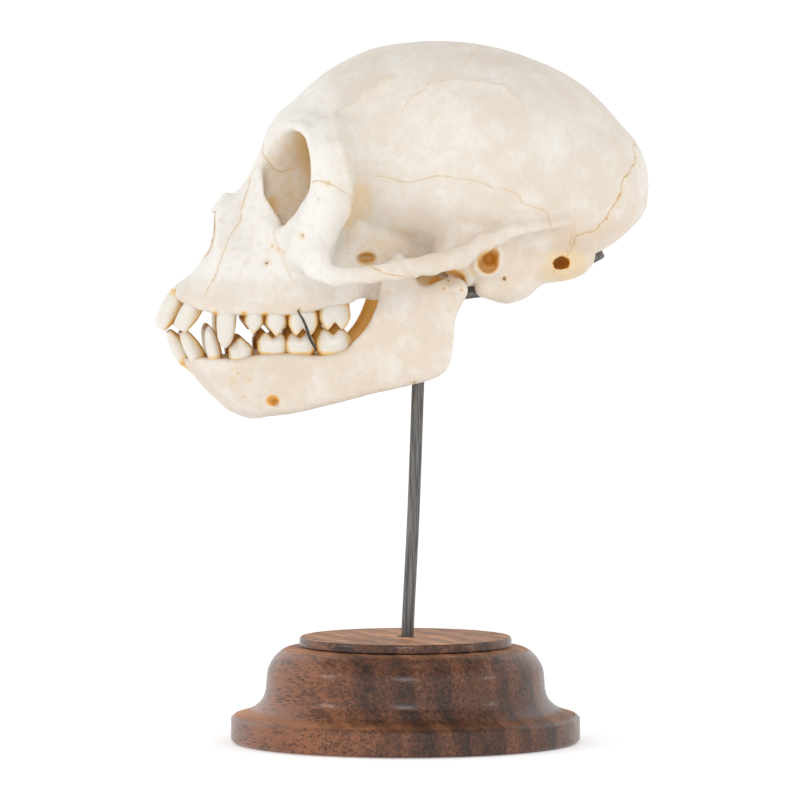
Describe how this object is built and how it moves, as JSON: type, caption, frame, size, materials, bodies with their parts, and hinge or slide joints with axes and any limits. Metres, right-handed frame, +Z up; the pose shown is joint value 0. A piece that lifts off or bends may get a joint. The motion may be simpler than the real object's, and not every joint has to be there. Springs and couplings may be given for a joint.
{
  "type": "monkey skull on a display stand",
  "caption": "Monkey skull with its jaw wired shut, held by a bent steel rod in a turned walnut base.",
  "frame": {"origin": "centre of the turned base's underside", "axes": "+Z up; the face looks towards -Y; the skull's left side is +X"},
  "size_m": [0.0698, 0.0983, 0.1398],
  "materials": {
    "bone": "dry cleaned bone, satin",
    "enamel": "tooth enamel, glossy",
    "walnut": "turned walnut, oiled",
    "steel": "drawn steel, slightly dull"
  },
  "bodies": {
    "root": {"cranium": "bone", "mandible": "bone", "upper_left_incisor_1": "enamel", "upper_left_incisor_2": "enamel", "upper_left_canine": "enamel", "upper_left_premolar_1": "enamel", "upper_left_premolar_2": "enamel", "upper_left_molar_1": "enamel", "upper_left_molar_2": "enamel", "upper_right_incisor_1": "enamel", "upper_right_incisor_2": "enamel", "upper_right_canine": "enamel", "upper_right_premolar_1": "enamel", "upper_right_premolar_2": "enamel", "upper_right_molar_1": "enamel", "upper_right_molar_2": "enamel", "lower_left_incisor_1": "enamel", "lower_left_incisor_2": "enamel", "lower_left_canine": "enamel", "lower_left_premolar_1": "enamel", "lower_left_premolar_2": "enamel", "lower_left_molar_1": "enamel", "lower_left_molar_2": "enamel", "lower_right_incisor_1": "enamel", "lower_right_incisor_2": "enamel", "lower_right_canine": "enamel", "lower_right_premolar_1": "enamel", "lower_right_premolar_2": "enamel", "lower_right_molar_1": "enamel", "lower_right_molar_2": "enamel", "stand_base": "walnut", "stand_rod": "steel", "jaw_wire_left": "steel", "jaw_wire_right": "steel"}
  },
  "joints": []
}
